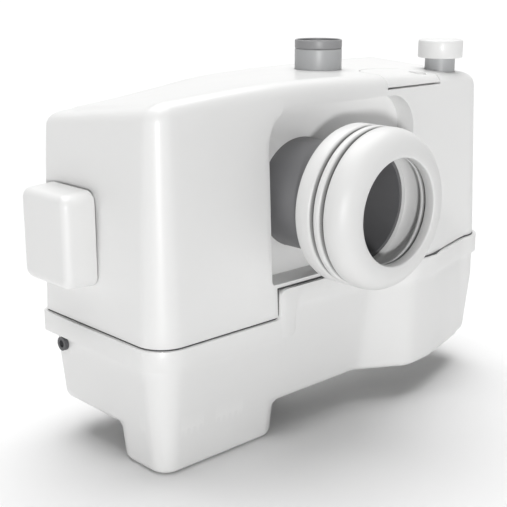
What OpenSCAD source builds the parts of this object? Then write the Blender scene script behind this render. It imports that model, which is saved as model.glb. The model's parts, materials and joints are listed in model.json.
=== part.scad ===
// Sewage lifting unit: a low tank with a motor pump, a clip-on housing, a ribbed
// toilet collar in front, two stubs on top and a vent box on the left side.
// Floor at Z 0, front at -Y, footprint centred on the Z axis, millimetres.

/* [Body] */
// Width over the flange
body_w = 368; // [340:2:420]
// Height of the crown of the housing over the inlet axis
crown_up = 84; // [78:1:100]
// Plan radius of the flange corners
corner_r = 24; // [16:1:30]
// Corner radius in plan of the housing and the flange at the rear
rear_corner_r = 8; // [6:1:16]
// Height of the seam at the low left end
split_low = 95; // [90:1:98]
// Height of the seam right of the step
split_high = 117; // [114:1:120]
// Distance of the seam step right of the bay's left edge
step_in = 6; // [4:0.5:8]
// Height of the flange band
flange_h = 15; // [10:1:18]
// How far the flange stands proud of the tank wall
flange_proud = 3; // [2:0.5:4]
// Wall of the tank
tank_wall = 3; // [2.5:0.5:3.5]
// Wall of the housing
shell_wall = 2.6; // [2:0.2:3.2]
// Seam gap that the gasket fills
seam_gap = 1.2; // [0.8:0.1:2]
// How far the housing leans in on each side up to its top
housing_draft = 7; // [4:0.5:10]
// How far the tank leans in on each side down to its belly
tank_draft = 5; // [2:0.5:6]

/* [Crown] */
// Radius of the front top edge
front_edge_r = 11; // [8:1:14]
// Radius of the rear left top corner
rear_edge_r = 12; // [10:1:26]
// Drop of the crown at the front left end
drop_front_left = 7; // [2:1:10]
// Drop of the crown at the rear left end
drop_rear_left = 20; // [14:1:22]
// Drop of the crown at the front right end
drop_front_right = 6; // [2:1:10]

/* [Belly and feet] */
// Height of the belly over the floor
belly_z = 27; // [24:1:30]
// Width of the front left foot
foot_w = 114; // [104:1:118]
// Depth of the front left foot
foot_d = 56; // [50:1:58]
// Width of the sump that stands on the floor
sump_w = 214; // [210:1:230]
// Room between the pump casing and the outside of the sump's front
sump_room = 7; // [6.5:0.5:10]
// Plan radius of foot and sump
foot_r = 16; // [12:1:18]

/* [Sump bulge] */
// How far the bulge stands in front of the flange
bulge_out = 18; // [10:1:22]
// Distance of the nose left of the motor's axis
bulge_left = 34; // [28:1:40]
// Length of the nose
bulge_nose = 24; // [16:1:28]
// Plan radius of the nose
bulge_r = 12; // [8:1:14]
// Height over the seam at which the bulge has died out
bulge_fade = 70; // [50:1:80]

/* [Toilet inlet] */
// Gap between the inlet bend and the check valve
inlet_gap = 20; // [16:1:26]
// Height of the inlet axis over the seam
inlet_up = 63; // [60:1:68]
// How far the mouth stands in front of the flange
collar_reach = 72; // [68:1:84]
// Bore of the collar's mouth lip, radius
lip_bore_r = 37.6; // [36:0.2:38]
// Length of the lip's bore
lip_len = 8; // [6:0.5:9]
// How far the collar's grooves lie outside the socket
collar_over = 9.5; // [8:0.5:12]
// Wall of the collar in its grooves
collar_wall = 4; // [3:0.2:5]
// Height of the collar's rings over its grooves
rib_h = 6.5; // [4:0.5:8]
// Length of the collar
collar_len = 46; // [45:0.5:50]
// Outer radius of the inlet socket
socket_r = 41; // [40:0.5:42]
// Wall of the inlet socket
socket_wall = 2.6; // [2:0.2:3]
// Room behind the inlet bend
chute_room = 26; // [22:1:36]

/* [Inlet bay] */
// Right edge of the bay from the inlet axis
bay_right = 112; // [100:1:116]
// Distance of the top edge of the bay below the crown
bay_drop = 18; // [16:0.5:20]
// Radius of the bay's top corners
bay_r = 26; // [16:1:34]
// Depth of the bay behind the flange front
bay_depth = 24; // [18:1:26]

/* [Access lid] */
// Gap in plan between the lid and the outlet socket
lid_gap = 15.3; // [13:0.1:17]
// Distance of the lid's axis from the front
lid_back = 21; // [20:0.5:23]
// Radius of the lid
lid_r = 35; // [33:0.5:36]
// Radius of the access hole under the lid
lid_hole_r = 10; // [9:0.5:11]

/* [Discharge] */
// Gap between the motor can and the check valve along the length
valve_gap = 3; // [2:0.5:6]
// Bore of the outlet socket, radius
outlet_bore_r = 16.1; // [15:0.1:16.6]
// Depth of the outlet socket
outlet_depth = 26; // [20:1:28]
// Outer radius of the outlet socket
outlet_r = 19; // [18.6:0.1:20]
// Height of the outlet socket over the crown
outlet_up = 22; // [18:1:26]
// Outer radius of the riser
riser_r = 8; // [7.6:0.1:8.4]
// Wall of the riser
pipe_wall = 1.8; // [1.4:0.1:2]
// Radius of the check ball
ball_r = 9.5; // [9:0.1:10]
// Lift of the check ball
ball_lift = 9; // [7:0.5:10]

/* [Top inlet] */
// Distance of the capped stub from the right end
cap_in = 38; // [36:0.5:40]
// Distance of the capped stub from the front
cap_back = 31; // [29:0.5:33]
// Outer radius of the capped stub
neck_r = 12.5; // [11:0.5:13]
// Radius of the cap
cap_r = 18.5; // [17:0.5:19]
// Height of the cap
cap_h = 15; // [12:1:16]
// Height of the cap's top over the crown
cap_up = 20; // [17:1:24]

/* [Vent box] */
// Width of the vent box along the side
vent_w = 58; // [50:1:60]
// Height of the vent box
vent_h = 68; // [60:1:70]
// How far the vent box stands out
vent_out = 24; // [18:1:26]
// Distance of its axis from the rear
vent_in = 44; // [42:1:50]
// Height of its axis
vent_z = 161; // [158:1:164]
// Width of a vent slot
slot_w = 2.4; // [2:0.1:3]
// Number of vent slots
slot_count = 6; // [4:1:7]

/* [Motor and pump] */
// Gap between the motor can and the level switch
can_gap = 5; // [3:0.5:8]
// Gap between the motor can and the tank's rear wall
rear_gap = 2; // [1:0.5:4]
// Outer radius of the motor can
motor_r = 34; // [33:0.5:34]
// Height of the motor can
motor_h = 96; // [88:1:100]
// Radius of the shaft
shaft_r = 5; // [4.5:0.1:5.4]
// Radius of the rotor
rotor_r = 18.5; // [17:0.5:19]
// Length of the rotor
rotor_len = 44; // [38:1:46]
// Radius of the impeller
impeller_r = 20.5; // [19:0.5:21]
// Number of impeller vanes
vane_count = 6; // [4:1:8]
// Outer radius of the pump casing
volute_r = 26; // [25:0.5:26]
// Outer radius of the cutter basket
basket_r = 33.5; // [32:0.5:33.5]
// Number of basket slots
basket_slots = 20; // [12:1:24]
// Span of the cutter blade
blade_span = 52; // [44:1:56]

/* [Level switch] */
// Radius of the dip tube
tube_r = 8; // [7:0.5:9]
// Radius of the pressure chamber
chamber_r = 15; // [13:0.5:17]
// Gap between the pressure chamber and the tank's right wall
level_gap = 9; // [6:0.5:12]
// Travel of the switch plunger
plunger_travel = 2; // [1:0.2:2.4]

/* [Hidden] */
$fn = 48;

// Working clearances and small shared sizes
cut = 1;              // overrun of every cut
slab = 0.6;           // thin slab that a drafted wall starts or ends on
seat = 0.1;           // clearance of pieces pushed together
free = 0.4;           // clearance of pieces that pass through a hole
running = 0.05;       // radial clearance of a running fit
soft_fn = 32;         // facets of rounded shells

// Depth and height of the body follow from what it holds
socket_flange_t = 3;
socket_flange_w = 7;
socket_lap = 14;
chute_neck = 4.2;
body_d = bay_depth + shell_wall + 2 * seat + socket_flange_t + chute_neck + 2 * socket_r + chute_room;
inlet_z = split_high + inlet_up;
body_h = inlet_z + crown_up;

// Places in plan, from the right end leftwards
front_y = -body_d / 2;
inner_inset = flange_proud + tank_wall;
belly_inset = flange_proud + tank_draft;
valve_r = 15;
port_wall = 2;
level_x = body_w / 2 - inner_inset - level_gap - chamber_r;
motor_x = level_x - chamber_r - can_gap - motor_r;
motor_y = body_d / 2 - belly_inset - tank_wall - rear_gap - max(motor_r, basket_r);
level_y = motor_y + can_gap;
riser_x = motor_x - motor_r - valve_gap - valve_r;
riser_y = motor_y - volute_r + riser_r + port_wall;
inlet_x = riser_x - valve_r - inlet_gap - socket_r;
bay_x0 = inlet_x - socket_r - socket_flange_w;
bay_x1 = inlet_x + bay_right;
step_x = bay_x0 + step_in;
bulge_x = motor_x - bulge_left;

// Body places
housing_inset = 0.8 * flange_proud;
tank_low_z = split_low - flange_h;
flange_high_z = split_high - flange_h;
housing_low_z = split_low + seam_gap;
housing_high_z = split_high + seam_gap;
gasket_inset = flange_proud;
gasket_w = tank_wall;

// Foot and sump places; the sump spreads most of its width to the left of the motor
foot_x = -body_w / 2 + belly_inset + foot_w / 2;
foot_y = front_y + belly_inset + foot_d / 2;
sump_shift_share = 0.2225;
sump_x = motor_x - sump_w * sump_shift_share;
sump_front_y = motor_y - volute_r - sump_room;
sump_d = body_d / 2 - belly_inset - sump_front_y;
sump_y = sump_front_y + sump_d / 2;

// Inlet places
mouth_y = front_y - collar_reach;
bay_y = front_y + bay_depth;
bay_z0 = housing_high_z + shell_wall;
bay_top = body_h - bay_drop;
groove_r = socket_r + collar_over;
ring_r = groove_r + rib_h;
hollow_r = groove_r - collar_wall;
socket_tip_y = mouth_y + collar_len - socket_lap;
chute_start_y = bay_y + shell_wall + 2 * seat + socket_flange_t;
chute_y = chute_start_y + chute_neck + socket_r;
chute_draw = 8;
chute_r = socket_r - chute_draw;

// Top places
ring_t = 1.4;
ring_w = 3;
crown_z = body_h;
lid_z = bay_top + 2 * shell_wall - slab;
lid_y = front_y + lid_back;
lid_x = riser_x + sqrt(max(pow(lid_r + outlet_r + lid_gap, 2) - pow(riser_y - lid_y, 2),
    pow(lid_r / 2, 2)));
hole_y = bay_y + shell_wall + lid_hole_r + ring_w + free;
outlet_top = crown_z + outlet_up;
cap_top = crown_z + cap_up;
cap_x = body_w / 2 - cap_in;
cap_y = front_y + cap_back;

// Deck: plate inside the tank's high rim that carries motor, valve and switch
deck_t = 3.4;
deck_drop = 8;
deck_z = split_high - deck_drop;
ledge_w = 4;
deck_top = deck_z + deck_t;
deck_x0 = step_x + tank_wall;

// Motor and pump heights
base_t = 5;
motor_z = deck_top + base_t;
motor_wall = 2;
bearing_h = 8;
bearing_r = 11;
winding_h = 16;
shaft_end_gap = 3;
rotor_z = motor_z + bearing_h + winding_h;
shaft_top = motor_z + motor_h - motor_wall - shaft_end_gap;
volute_z = 7;
volute_h = 23;
volute_wall = 3;
wear_t = 3;
wear_z = volute_z + volute_h + cut;
basket_z = wear_z + wear_t;
basket_wall = 2;
impeller_gap = 2.5;
impeller_z = volute_z + volute_wall + impeller_gap;
hub_r = 8;
blade_lift = 6;
blade_z = basket_z + blade_lift;

// Discharge heights
outlet_pipe_z = volute_z + volute_h / 2;
port_len = 4;
port_x = motor_x - volute_r - port_len;
valve_foot = 12;
valve_z = deck_top + valve_foot;
valve_wall = 2.6;
ball_room = 2;
ball_cavity_r = ball_r + ball_room;
seat_t = 5;
stop_r = 1.2;
pipe_bore_r = riser_r - pipe_wall;
ball_z = valve_z + seat_t + sqrt(pow(ball_r, 2) - pow(pipe_bore_r, 2)) + free;
stop_z = ball_z + ball_r + ball_lift + free + stop_r;
valve_top = stop_z + 2 * stop_r + seat_t;
valve_h = valve_top - valve_z;
outlet_floor = outlet_top - outlet_depth;
sleeve_h = 7;

// Level switch places
chamber_h = 12;
film_t = 1.2;
plunger_r = 3;
plunger_disc_r = 6;
plunger_h = 12;
switch_h = 11;
chamber_z = deck_top;
film_z = chamber_z + chamber_h;
plunger_z = film_z + film_t + free;
switch_z = plunger_z + plunger_h + plunger_travel + free;

// Rounded rectangle in plan, drawn in by an inset on every side
module plan(inset_by, w = body_w, d = body_d, r = corner_r) {
    r_in = max(r - inset_by, slab);
    x = w / 2 - inset_by - r_in;
    y = d / 2 - inset_by - r_in;
    square([2 * x, 2 * (y + r_in)], center = true);
    square([2 * (x + r_in), 2 * y], center = true);
    for (sx = [-1, 1], sy = [-1, 1])
        translate([sx * x, sy * y]) circle(r_in, $fn = soft_fn);
}

// Plan of the housing and the flange, whose rear corners are sharper
module cover_plan(inset_by) {
    r_in = max(rear_corner_r - inset_by, slab);
    x = body_w / 2 - inset_by - r_in;
    y = body_d / 2 - inset_by - r_in;
    plan(inset_by);
    translate([-x, 0]) square([2 * x, y + r_in]);
    translate([-x - r_in, 0]) square([2 * (x + r_in), y]);
    for (sx = [-1, 1]) translate([sx * x, y]) circle(r_in, $fn = soft_fn);
}

// Bow of the front, with its flank on the left of the nose
bulge_flank = 74;
bulge_tuck = 2.3;
bulge_root = bulge_x - bulge_flank;
module bulge_plan(inset_by) {
    nose_y = front_y - bulge_out + bulge_r;
    r_in = bulge_r - inset_by;
    hull() {
        translate([bulge_root, front_y + corner_r]) circle(r_in / 2, $fn = soft_fn);
        for (x = [bulge_x, bulge_x + bulge_nose])
            translate([x, nose_y]) circle(r_in, $fn = soft_fn);
        translate([body_w / 2 - 2 * corner_r, front_y + corner_r])
            circle(corner_r - inset_by - bulge_tuck, $fn = soft_fn);
    }
}

// Both together at one height
module outline(inset_by) {
    plan(inset_by);
    bulge_plan(inset_by);
}

module cover_outline(inset_by) {
    cover_plan(inset_by);
    bulge_plan(inset_by);
}

// Everything right of the seam step, from a given X
module right_of(x, z0, z1) {
    translate([x, -body_d, z0]) cube([body_w, 2 * body_d, z1 - z0]);
}

// Piece of the flange band between two places along the length
module band(x0, x1, z0, z1) intersection() {
    translate([0, 0, z0]) linear_extrude(z1 - z0) cover_plan(0);
    translate([x0, -body_d, z0]) cube([x1 - x0, 2 * body_d, z1 - z0]);
}

// TANK

module tank_body(inset_by, z_belly) {
    hull() {
        translate([0, 0, z_belly]) linear_extrude(slab) plan(belly_inset + inset_by);
        translate([0, 0, tank_low_z]) linear_extrude(slab) plan(flange_proud + inset_by);
    }
}

// Block in plan w by d that spreads from its underside z0 to its top z1
module spread_block(inset_by, w, d, z0, z1) {
    hull() {
        translate([0, 0, z0]) linear_extrude(slab) plan(inset_by + foot_draft, w, d, foot_r);
        translate([0, 0, z1]) linear_extrude(slab) plan(inset_by, w, d, foot_r);
    }
}
foot_draft = 2;

module foot_block(inset_by, z0, z1)
    translate([foot_x, foot_y, 0]) spread_block(inset_by, foot_w, foot_d, z0, z1);

module sump_block(inset_by, z0, z1)
    translate([sump_x, sump_y, 0]) spread_block(inset_by, sump_w, sump_d, z0, z1);

lug_in = [30, 44];
lug_xs = [step_x + lug_in[0], body_w / 2 - lug_in[1]];
lug_r = 9;
lug_h = 7;
screw_r = 2.4;
screw_y = body_d / 2 + lug_r / 2;
module lugs(z0) {
    for (x = lug_xs) translate([x, body_d / 2, z0]) {
        cylinder(r = lug_r, h = lug_h);
        translate([-lug_r, -lug_r, 0]) cube([2 * lug_r, lug_r, lug_h]);
    }
}
module lug_holes() {
    for (x = lug_xs) translate([x, screw_y, 0]) cylinder(r = screw_r + seat, h = body_h);
}

module tank() color("white") {
    tank_shell();
    difference() {
        translate([0, 0, deck_z - deck_t - seat]) linear_extrude(deck_t) difference() {
            outline(inner_inset - slab);
            outline(inner_inset + ledge_w);
        }
        translate([-body_w + deck_x0, -body_d, 0]) cube([body_w, 2 * body_d, body_h]);
    }
}

module tank_shell() difference() {
    union() {
        tank_body(0, belly_z);
        foot_block(0, 0, belly_z + tank_wall);
        sump_block(0, 0, belly_z + tank_wall);
        band(-body_w, step_x + flange_h, tank_low_z, split_low);
        band(step_x, step_x + flange_h, tank_low_z, split_high);
        translate([0, 0, belly_z]) linear_extrude(flange_high_z - belly_z)
            bulge_plan(flange_proud);
        difference() {
            translate([0, 0, tank_low_z]) linear_extrude(flange_high_z - tank_low_z)
                plan(flange_proud);
            translate([-body_w + step_x, -body_d, split_low])
                cube([body_w, 2 * body_d, body_h]);
        }
        difference() {
            translate([0, 0, flange_high_z]) linear_extrude(flange_h) cover_outline(0);
            translate([-body_w + step_x, -body_d, split_low])
                cube([body_w, 2 * body_d, body_h]);
        }
        lugs(split_high - lug_h);
    }
    tank_body(tank_wall, belly_z + tank_wall);
    foot_block(tank_wall, tank_wall, belly_z + 2 * tank_wall);
    sump_block(tank_wall, tank_wall, belly_z + 2 * tank_wall);
    translate([0, 0, belly_z + tank_wall]) linear_extrude(body_h)
        bulge_plan(inner_inset);
    translate([0, 0, tank_low_z]) linear_extrude(body_h) plan(inner_inset);
    lug_holes();
    translate([-body_w / 2 - cut, gland_y, gland_z]) rotate([0, 90, 0])
        cylinder(r = gland_r + seat, h = body_w / 4);
}

// SEAM GASKET: two flat loops' parts joined by an upright strip at the step

module gasket_loop() {
    difference() {
        cover_outline(gasket_inset);
        cover_outline(gasket_inset + gasket_w);
    }
}

module seam_gasket() color([0.25, 0.25, 0.26]) {
    difference() {
        translate([0, 0, split_low]) linear_extrude(seam_gap) difference() {
            cover_plan(gasket_inset);
            cover_plan(gasket_inset + gasket_w);
        }
        right_of(step_x, 0, body_h);
    }
    difference() {
        translate([0, 0, split_high]) linear_extrude(seam_gap) gasket_loop();
        translate([-body_w + step_x - seam_gap, -body_d, 0])
            cube([body_w, 2 * body_d, body_h]);
    }
    intersection() {
        translate([0, 0, split_low]) linear_extrude(split_high + seam_gap - split_low)
            difference() {
                cover_plan(gasket_inset);
                cover_plan(gasket_inset + gasket_w);
            }
        translate([step_x - seam_gap, -body_d, split_low])
            cube([seam_gap, 2 * body_d, body_h]);
    }
}

// HOUSING

// Balls of the crown: places as shares of the half width and depth, then radius and drop
crown_shares = [[-1, -1], [-0.3, -1], [0.4, -1], [1, -1], [-1, 1], [-0.1, 1], [1, 1]];
crown_edges = [
    [front_edge_r, drop_front_left], [front_edge_r, 0], [front_edge_r, 0],
    [front_edge_r, drop_front_right], [rear_edge_r, drop_rear_left],
    [front_edge_r, 2 * shell_wall / 3], [front_edge_r, shell_wall / 3]
];

module housing_form(inset_by) {
    half_w = body_w / 2 - housing_inset - housing_draft;
    half_d = body_d / 2 - housing_inset - housing_draft;
    hull() {
        translate([0, 0, housing_low_z]) linear_extrude(slab)
            cover_plan(housing_inset + inset_by);
        for (i = [0:len(crown_shares) - 1]) let (at = crown_shares[i], r = crown_edges[i][0])
            translate([at[0] * (half_w - r), at[1] * (half_d - r), crown_z - r - crown_edges[i][1]])
                sphere(r - inset_by, $fn = soft_fn);
    }
}

module housing_bulge(inset_by) {
    hull() {
        translate([0, 0, housing_high_z]) linear_extrude(slab)
            bulge_plan(housing_inset + inset_by);
        translate([bulge_root + inset_by, front_y + housing_inset + housing_draft + inset_by,
            housing_high_z + bulge_fade])
            cube([body_w / 2 - corner_r - bulge_root - 2 * inset_by, corner_r, slab]);
    }
}

// Outline of the inlet bay seen from the front, X and Z
module bay_outline(grow) {
    x0 = bay_x0 - grow;
    x1 = bay_x1 + grow;
    z0 = bay_z0 - grow;
    z1 = bay_top + grow;
    r = bay_r + grow;
    translate([x0, z0]) square([x1 - x0, z1 - z0 - r]);
    translate([x0 + r, z0]) square([x1 - x0 - 2 * r, z1 - z0]);
    for (x = [x0 + r, x1 - r]) translate([x, z1 - r]) circle(r, $fn = soft_fn);
}

module bay_cut(grow) {
    translate([0, bay_y + grow, 0]) rotate([90, 0, 0])
        linear_extrude(body_d) bay_outline(grow);
}

module housing() color("white") difference() {
    union() {
        difference() {
            housing_form(0);
            right_of(step_x - seam_gap, 0, housing_high_z);
        }
        housing_bulge(0);
        vent_pad();
        lugs(housing_high_z);
    }
    difference() {
        union() {
            housing_form(shell_wall);
            translate([0, 0, -cut]) housing_bulge(shell_wall);
        }
        bay_cut(shell_wall);
        translate([lid_x, lid_y, lid_z - shell_wall]) cylinder(r = lid_r + shell_wall, h = body_h);
        vent_pad();
    }
    bay_cut(0);
    translate([inlet_x, bay_y + body_d / 2, inlet_z]) rotate([90, 0, 0])
        cylinder(r = socket_r + seat, h = body_d);
    translate([lid_x, lid_y, lid_z]) cylinder(r = lid_r + free, h = body_h);
    translate([lid_x, hole_y, lid_z - shell_wall - cut]) cylinder(r = lid_hole_r, h = body_h);
    translate([riser_x, riser_y, split_high]) cylinder(r = outlet_r + seat, h = body_h);
    translate([cap_x, cap_y, split_high]) cylinder(r = neck_r + seat, h = body_h);
    translate([-body_w, vent_y, vent_z]) rotate([0, 90, 0])
        cylinder(r = vent_hole_r, h = body_w - corner_r);
    lug_holes();
}
vent_hole_r = 16;
vent_y = body_d / 2 - vent_in;
vent_face_x = -body_w / 2 + flange_proud;

module vent_pad() {
    pad_t = housing_draft + shell_wall;
    translate([vent_face_x, vent_y - vent_w / 2 + corner_small, vent_z - vent_h / 2 + corner_small])
        cube([pad_t, vent_w - 2 * corner_small, vent_h - 2 * corner_small]);
}
corner_small = 5;

// Screws run down through the lugs of housing and tank
module housing_screws() color("silver") {
    shank = 2 * lug_h + seam_gap;
    for (x = lug_xs) translate([x, screw_y, housing_high_z + lug_h]) {
        cylinder(r = 1.8 * screw_r, h = 1.3 * screw_r);
        translate([0, 0, -shank]) cylinder(r = screw_r, h = shank);
    }
}

// ACCESS LID: the round piece of the crown, with its front lip over the edge

module access_lid() color("white") difference() {
    intersection() {
        housing_form(0);
        translate([lid_x, lid_y, lid_z + ring_t + seat]) cylinder(r = lid_r, h = body_h);
    }
    translate([lid_x + lid_r / 2, lid_y, crown_z - grip_deep])
        cylinder(r = grip_r, h = body_h);
}
grip_r = 7;
grip_deep = 4;

module lid_ring() color([0.2, 0.2, 0.2])
    translate([lid_x, hole_y, lid_z]) difference() {
        cylinder(r = lid_hole_r + ring_w, h = ring_t);
        translate([0, 0, -cut]) cylinder(r = lid_hole_r + ring_w / 3, h = ring_t + 2 * cut);
    }

// INLET

module along_y(y) translate([inlet_x, y, inlet_z]) rotate([-90, 0, 0]) children();

module inlet_socket() color([0.55, 0.55, 0.56]) {
    flange_y = bay_y + shell_wall + seat;
    difference() {
        union() {
            along_y(socket_tip_y) cylinder(r = socket_r, h = flange_y - socket_tip_y + seat);
            along_y(flange_y) cylinder(r = socket_r + socket_flange_w, h = socket_flange_t);
        }
        along_y(socket_tip_y - cut)
            cylinder(r = socket_r - socket_wall, h = flange_y - socket_tip_y + body_d / 2);
    }
}

// Section of the collar: distance behind the mouth runs up the second axis
groove_pitch = 9;
nose_len = 15;
ring_len = 3.2;
fin_t = 2;
fin_r = lip_bore_r + slab;
function nose_arc(n) = [for (i = [0:n]) let (a = 90 * i / n)
    [lip_bore_r + lip_edge + (ring_r - lip_bore_r - lip_edge) * sin(a), nose_len * (1 - cos(a))]];
function rib(z) = [
    [ring_r, z], [groove_r + groove_r / 50, z + groove_pitch / 5], [groove_r, z + groove_pitch / 3],
    [groove_r, z + groove_pitch / 2], [ring_r, z + groove_pitch - ring_len / 2]
];
lip_edge = 2.2;

module inlet_collar() color([0.93, 0.93, 0.92]) {
    rib_z = nose_len + ring_len;
    root_z = collar_len - socket_lap;
    along_y(mouth_y) rotate_extrude($fn = 96) polygon(concat(
        [[lip_bore_r, lip_len], [lip_bore_r, lip_edge / 2], [lip_bore_r + lip_edge / 2, 0]],
        nose_arc(8),
        rib(rib_z), rib(rib_z + groove_pitch),
        [[ring_r, collar_len - lip_edge], [ring_r - lip_edge, collar_len],
         [socket_r + seat, collar_len], [socket_r + seat, root_z - seat],
         [hollow_r - fin_t, root_z - seat], [hollow_r, root_z - 2 * fin_t],
         [hollow_r, lip_len + 3 * fin_t], [fin_r, lip_len + 2.5 * fin_t],
         [fin_r, lip_len + 1.5 * fin_t], [hollow_r - fin_t, lip_len + fin_t]]
    ));
}

module inlet_chute() color([0.5, 0.5, 0.52]) {
    difference() {
        union() {
            along_y(chute_start_y) cylinder(r = socket_r, h = chute_y - chute_start_y);
            translate([inlet_x, chute_y, inlet_z]) sphere(socket_r);
            translate([inlet_x, chute_y, deck_z - deck_t]) cylinder(r = chute_r, h = inlet_z - deck_z);
        }
        along_y(chute_start_y - cut) cylinder(r = socket_r - socket_wall, h = chute_y - chute_start_y + cut);
        translate([inlet_x, chute_y, inlet_z]) sphere(socket_r - socket_wall);
        translate([inlet_x, chute_y, 0]) cylinder(r = chute_r - socket_wall, h = inlet_z);
    }
}

// DISCHARGE

module at_riser(z) translate([riser_x, riser_y, z]) children();

module tube(r, wall, h) difference() {
    cylinder(r = r, h = h);
    translate([0, 0, -cut]) cylinder(r = r - wall, h = h + 2 * cut);
}

module outlet_socket() color([0.6, 0.6, 0.6]) at_riser(outlet_floor - valve_wall) difference() {
    union() {
        cylinder(r = outlet_r, h = outlet_depth + valve_wall - sleeve_h);
        cylinder(r = outlet_bore_r + pipe_wall / 2, h = outlet_depth + valve_wall - pipe_wall);
        translate([0, 0, -socket_drop]) cylinder(r = riser_r + valve_wall, h = socket_drop + cut);
    }
    translate([0, 0, valve_wall]) cylinder(r = outlet_bore_r, h = outlet_depth + cut);
    translate([0, 0, -socket_drop - cut]) cylinder(r = pipe_bore_r, h = body_h);
    translate([0, 0, -socket_drop - cut]) cylinder(r = riser_r + seat, h = socket_drop);
}
socket_drop = 10;

module outlet_sleeve() color([0.35, 0.35, 0.36])
    at_riser(outlet_top - sleeve_h) difference() {
        cylinder(r = outlet_r, h = sleeve_h);
        translate([0, 0, -cut])
            cylinder(r = outlet_bore_r + pipe_wall / 2 + seat, h = sleeve_h + 2 * cut);
    }

module valve_riser() color([0.6, 0.6, 0.6])
    at_riser(valve_top + seat)
        tube(riser_r, pipe_wall, outlet_floor - valve_wall - cut - valve_top - 2 * seat);

module check_valve_body() color([0.62, 0.62, 0.6]) at_riser(valve_z) difference() {
    cylinder(r = valve_r, h = valve_h);
    translate([0, 0, seat_t]) cylinder(r = ball_cavity_r, h = valve_h - 2 * seat_t);
    translate([0, 0, -cut]) cylinder(r = pipe_bore_r, h = valve_h + 2 * cut);
    translate([0, valve_r, stop_z - valve_z]) rotate([90, 0, 0])
        cylinder(r = stop_r + seat, h = 2 * valve_r);
}

module check_ball() color([0.85, 0.85, 0.8]) at_riser(ball_z) sphere(ball_r);

module ball_stop() color("silver") at_riser(stop_z)
    translate([0, valve_r, 0]) rotate([90, 0, 0]) cylinder(r = stop_r, h = 2 * valve_r);

module discharge_elbow() color([0.6, 0.6, 0.6]) {
    difference() {
        union() {
            at_riser(outlet_pipe_z) cylinder(r = riser_r, h = valve_z - outlet_pipe_z);
            at_riser(outlet_pipe_z) sphere(riser_r);
            at_riser(outlet_pipe_z) rotate([0, 90, 0])
                cylinder(r = riser_r, h = port_x - riser_x);
        }
        at_riser(outlet_pipe_z) cylinder(r = pipe_bore_r, h = valve_z - outlet_pipe_z + cut);
        at_riser(outlet_pipe_z) sphere(pipe_bore_r);
        at_riser(outlet_pipe_z) rotate([0, 90, 0]) cylinder(r = pipe_bore_r, h = port_x - riser_x + cut);
    }
}

// TOP INLET

module at_cap(z) translate([cap_x, cap_y, z]) children();

module top_inlet_pipe() color([0.6, 0.6, 0.6]) {
    low = deck_z - deck_t;
    at_cap(low) tube(neck_r, pipe_wall, cap_top - cap_wall - seat - low);
}
cap_wall = 2;

module top_inlet_cap() color("white") at_cap(cap_top - cap_h) difference() {
    cylinder(r = cap_r, h = cap_h);
    translate([0, 0, -cut]) cylinder(r = neck_r + free, h = cap_h - cap_wall + cut);
}

// SIDE VENT

module vent_outline(inset_by) plan(inset_by, vent_h, vent_w, 2 * corner_small);

module at_vent(x) translate([x, vent_y, vent_z]) rotate([0, -90, 0]) children();

vent_wall = 2;
module vent_cover() color([0.95, 0.95, 0.95]) at_vent(vent_face_x - seat) difference() {
    linear_extrude(vent_out) vent_outline(0);
    translate([0, 0, -cut]) linear_extrude(vent_out - vent_wall + cut) vent_outline(vent_wall);
    for (i = [0:slot_count - 1])
        translate([(i - (slot_count - 1) / 2) * 3 * slot_w - slot_w / 2, 0, vent_out / 3])
            cube([slot_w, vent_w, vent_out / 3]);
}

module carbon_filter() color([0.15, 0.15, 0.15]) at_vent(vent_face_x - 3 * seat)
    linear_extrude(vent_out - vent_wall - 3 * vent_wall) vent_outline(vent_wall + 3 * seat);

// CABLE GLAND under the flange at the rear left

gland_in = 27;
gland_y = body_d / 2 - gland_in;
gland_r = 4;
gland_rim = 1.2;
gland_z = tank_low_z - gland_r - gland_rim - slab;
gland_bore_r = 2.8;
module cable_gland() color([0.12, 0.12, 0.12]) {
    face_x = -body_w / 2 + flange_proud;
    translate([face_x, gland_y, gland_z]) rotate([0, 90, 0]) difference() {
        union() {
            cylinder(r = gland_r, h = flange_proud + 3 * tank_wall);
            translate([0, 0, -flange_proud]) cylinder(r = gland_r + gland_rim, h = flange_proud);
        }
        translate([0, 0, -flange_proud - cut]) cylinder(r = gland_bore_r, h = body_w / 4);
    }
}

// DECK

module deck() color([0.75, 0.76, 0.78]) difference() {
    translate([0, 0, deck_z]) linear_extrude(deck_t) difference() {
        outline(inner_inset + free);
        translate([-body_w + deck_x0, -body_d]) square([body_w, 2 * body_d]);
    }
    translate([inlet_x, chute_y, 0]) cylinder(r = chute_r + free, h = body_h);
    at_riser(0) cylinder(r = riser_r + free, h = body_h);
    at_cap(0) cylinder(r = neck_r + free, h = body_h);
    translate([motor_x, motor_y, 0]) cylinder(r = seal_r + seat, h = body_h);
    translate([level_x, level_y, 0]) cylinder(r = tube_r + seat, h = body_h);
    for (a = [45:90:359]) at_motor(0) rotate([0, 0, a]) translate([screw_ring_r, 0, 0])
        cylinder(r = screw_r + seat, h = body_h);
}

// MOTOR

module at_motor(z) translate([motor_x, motor_y, z]) children();

seal_r = 10;
screw_ring_r = 26;

module motor_can() color([0.7, 0.72, 0.75]) at_motor(motor_z) difference() {
    cylinder(r = motor_r, h = motor_h);
    translate([0, 0, -cut]) cylinder(r = motor_r - motor_wall, h = motor_h - motor_wall + cut);
}

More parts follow.
